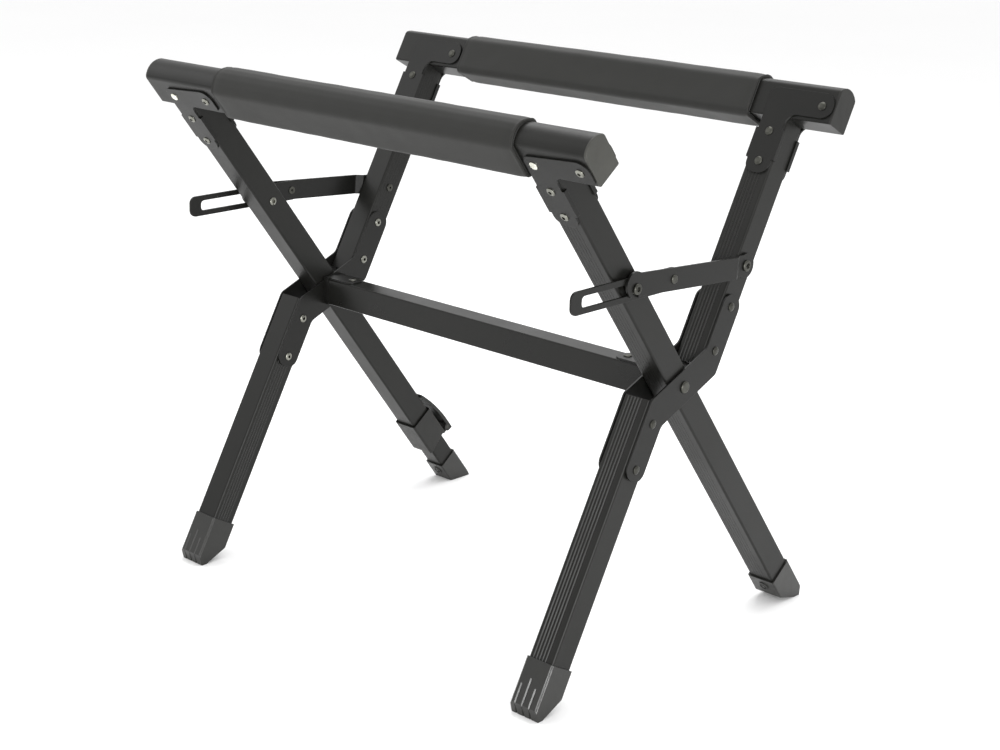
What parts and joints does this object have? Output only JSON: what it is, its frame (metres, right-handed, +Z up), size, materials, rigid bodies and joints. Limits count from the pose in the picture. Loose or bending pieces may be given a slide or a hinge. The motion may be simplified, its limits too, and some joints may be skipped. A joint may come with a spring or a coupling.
{
  "type": "folding sawhorse",
  "caption": "Folding sawhorse with padded D-section rails on scissor frames, a crossbar, slotted lock levers and a levelling leg.",
  "frame": {"origin": "on the ground, under the middle of the bounding box", "axes": "+X along the rails to the end without the levelling leg, -Y to the side of the higher-leaning straight legs' rail, +Z up"},
  "size_m": [0.658, 0.4976, 0.6192],
  "materials": {
    "tube_paint": "satin charcoal powder coat",
    "crossbar_paint": "satin charcoal powder coat",
    "plate_paint": "satin black powder coat",
    "black_rivet_steel": "black oxide with worn rim",
    "ring_rivet_steel": "worn rims, dark bores",
    "bright_steel": "bright zinc",
    "foam": "matt closed-cell foam",
    "foot_plastic": "moulded matt",
    "black_plastic": "moulded matt",
    "grey_plastic": "moulded matt"
  },
  "bodies": {
    "front_frame": {"back_foot_right": "foot_plastic", "bright_corner_rivets": "bright_steel", "clamp_lever_pin": "black_rivet_steel", "levelling_collar": "black_plastic", "near_bracket_rivets_left": "ring_rivet_steel", "near_bracket_rivets_right": "ring_rivet_steel", "near_foam_sleeve": "foam", "near_rail": "tube_paint", "near_rail_back_bracket_left": "plate_paint", "near_rail_back_bracket_right": "plate_paint", "near_rail_cap_left": "grey_plastic", "near_rail_cap_right": "grey_plastic", "near_rail_front_bracket_left": "plate_paint", "near_rail_front_bracket_right": "plate_paint", "pivot_washers_left": "bright_steel", "pivot_washers_right": "bright_steel", "straight_leg_left": "tube_paint", "straight_leg_right": "tube_paint", "stud_tails": "ring_rivet_steel"},
    "clamp_lever": {"clamp_lever": "black_plastic"},
    "rear_frame": {"crossbar": "crossbar_paint", "crossbar_clip_left": "plate_paint", "crossbar_clip_right": "plate_paint", "crossbar_rivets": "black_rivet_steel", "far_bracket_rivets_left": "black_rivet_steel", "far_bracket_rivets_right": "black_rivet_steel", "far_foam_sleeve": "foam", "far_rail": "tube_paint", "far_rail_back_bracket_left": "plate_paint", "far_rail_back_bracket_right": "plate_paint", "far_rail_cap_left": "black_plastic", "far_rail_cap_right": "black_plastic", "far_rail_front_bracket_left": "plate_paint", "far_rail_front_bracket_right": "plate_paint", "front_foot_left": "foot_plastic", "front_foot_right": "foot_plastic", "gusset_inner_left": "plate_paint", "gusset_inner_right": "plate_paint", "gusset_outer_left": "plate_paint", "gusset_outer_right": "plate_paint", "gusset_rivets_left": "ring_rivet_steel", "gusset_rivets_right": "ring_rivet_steel", "link_hinge_rivets": "black_rivet_steel", "pivot_rivet_left": "black_rivet_steel", "pivot_rivet_right": "black_rivet_steel", "split_leg_lower_left": "tube_paint", "split_leg_lower_right": "tube_paint", "split_leg_upper_left": "tube_paint", "split_leg_upper_right": "tube_paint"},
    "lock_link_left": {"knee_rivet_left": "black_rivet_steel", "lock_link_left": "plate_paint"},
    "lock_link_right": {"knee_rivet_right": "black_rivet_steel", "lock_link_right": "plate_paint"},
    "levelling_leg": {"levelling_foot": "foot_plastic", "levelling_tube": "tube_paint"},
    "lock_stud_left": {"lock_stud_left": "black_rivet_steel"},
    "lock_stud_right": {"lock_stud_right": "black_rivet_steel"},
    "slotted_lever_left": {"slotted_lever_left": "plate_paint"},
    "slotted_lever_right": {"slotted_lever_right": "plate_paint"}
  },
  "joints": [
    {"name": "fold", "type": "hinge", "parent": "rear_frame", "child": "front_frame", "pos_m": [0, -0.00911, 0.31192], "axis": [-1, 0, 0], "range_deg": [0, 62]},
    {"name": "link_hinge_left", "type": "hinge", "parent": "rear_frame", "child": "lock_link_left", "pos_m": [-0.3061, 0.08801, 0.4272], "axis": [-1, 0, 0], "range_deg": [0, 86.85]},
    {"name": "knee_left", "type": "hinge", "parent": "lock_link_left", "child": "slotted_lever_left", "pos_m": [-0.3061, -0.04473, 0.43546], "axis": [1, 0, 0], "range_deg": [0, 158.81]},
    {"name": "stud_slide_left", "type": "slide", "parent": "slotted_lever_left", "child": "lock_stud_left", "axis": [0, -1, -0.0045], "range_m": [0, 0.05137]},
    {"name": "link_hinge_right", "type": "hinge", "parent": "rear_frame", "child": "lock_link_right", "pos_m": [0.2801, 0.08801, 0.4272], "axis": [-1, 0, 0], "range_deg": [0, 86.85]},
    {"name": "knee_right", "type": "hinge", "parent": "lock_link_right", "child": "slotted_lever_right", "pos_m": [0.2801, -0.04473, 0.43546], "axis": [1, 0, 0], "range_deg": [0, 158.81]},
    {"name": "stud_slide_right", "type": "slide", "parent": "slotted_lever_right", "child": "lock_stud_right", "axis": [0, -1, -0.0045], "range_m": [0, 0.05137]},
    {"name": "levelling_slide", "type": "slide", "parent": "front_frame", "child": "levelling_leg", "axis": [0, 0.6129, -0.7902], "range_m": [-0.015, 0.04]},
    {"name": "clamp_lever_hinge", "type": "hinge", "parent": "front_frame", "child": "clamp_lever", "pos_m": [-0.2865, 0.20227, 0.08102], "axis": [-1, 0, 0], "range_deg": [0, 95]}
  ],
  "couplings": [
    {"joint": "link_hinge_left", "follows": "fold", "ratio": 1.4},
    {"joint": "knee_left", "follows": "fold", "ratio": 2.5606},
    {"joint": "stud_slide_left", "follows": "fold", "m_per_rad": 0.047425},
    {"joint": "link_hinge_right", "follows": "fold", "ratio": 1.4},
    {"joint": "knee_right", "follows": "fold", "ratio": 2.5606},
    {"joint": "stud_slide_right", "follows": "fold", "m_per_rad": 0.047425}
  ]
}
